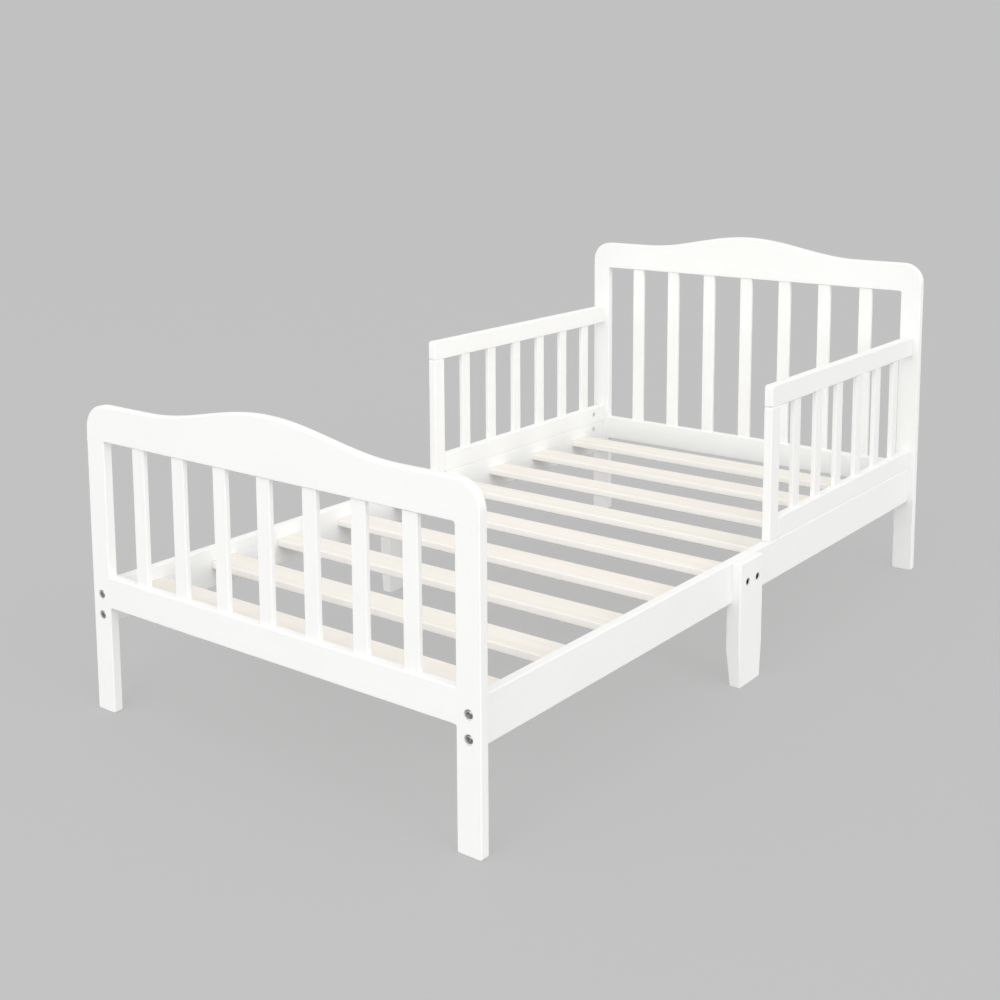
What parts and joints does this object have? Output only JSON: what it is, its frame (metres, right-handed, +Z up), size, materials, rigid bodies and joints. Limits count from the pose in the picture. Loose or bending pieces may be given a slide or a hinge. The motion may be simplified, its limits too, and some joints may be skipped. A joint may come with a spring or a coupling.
{
  "type": "toddler bed",
  "caption": "Low child's bed with crowned spindle headboard and footboard, side rails, centre legs, spindle guards beside the head half, and loose cross slats.",
  "frame": {"origin": "centre of the bed's bounding box, on the floor", "axes": "+X to the right as seen from the foot of the bed, +Y from the foot to the headboard, +Z up"},
  "size_m": [0.756, 1.372, 0.634],
  "materials": {
    "white_paint": "satin white enamel on wood",
    "slat_wood": "pale unfinished sanded wood",
    "zinc_steel": "zinc-plated connector bolts"
  },
  "bodies": {
    "root": {"headboard_post_left": "white_paint", "headboard_post_right": "white_paint", "headboard_top_rail": "white_paint", "headboard_bottom_rail": "white_paint", "headboard_spindle_1": "white_paint", "headboard_spindle_2": "white_paint", "headboard_spindle_3": "white_paint", "headboard_spindle_4": "white_paint", "headboard_spindle_5": "white_paint", "headboard_spindle_6": "white_paint", "headboard_spindle_7": "white_paint", "footboard_post_left": "white_paint", "footboard_post_right": "white_paint", "footboard_top_rail": "white_paint", "footboard_bottom_rail": "white_paint", "footboard_spindle_1": "white_paint", "footboard_spindle_2": "white_paint", "footboard_spindle_3": "white_paint", "footboard_spindle_4": "white_paint", "footboard_spindle_5": "white_paint", "footboard_spindle_6": "white_paint", "footboard_spindle_7": "white_paint", "side_rail_left": "white_paint", "centre_leg_left": "white_paint", "guard_left_top_rail": "white_paint", "guard_left_front_post": "white_paint", "guard_left_bottom_rail": "white_paint", "guard_left_spindle_1": "white_paint", "guard_left_spindle_2": "white_paint", "guard_left_spindle_3": "white_paint", "guard_left_spindle_4": "white_paint", "guard_left_spindle_5": "white_paint", "guard_left_spindle_6": "white_paint", "foot_bolt_left_lower": "zinc_steel", "foot_bolt_left_upper": "zinc_steel", "side_rail_right": "white_paint", "centre_leg_right": "white_paint", "guard_right_top_rail": "white_paint", "guard_right_front_post": "white_paint", "guard_right_bottom_rail": "white_paint", "guard_right_spindle_1": "white_paint", "guard_right_spindle_2": "white_paint", "guard_right_spindle_3": "white_paint", "guard_right_spindle_4": "white_paint", "guard_right_spindle_5": "white_paint", "guard_right_spindle_6": "white_paint", "foot_bolt_right_lower": "zinc_steel", "foot_bolt_right_upper": "zinc_steel", "slat_1": "slat_wood", "slat_2": "slat_wood", "slat_3": "slat_wood", "slat_4": "slat_wood", "slat_5": "slat_wood", "slat_6": "slat_wood", "slat_7": "slat_wood", "slat_8": "slat_wood", "slat_9": "slat_wood"}
  },
  "joints": []
}
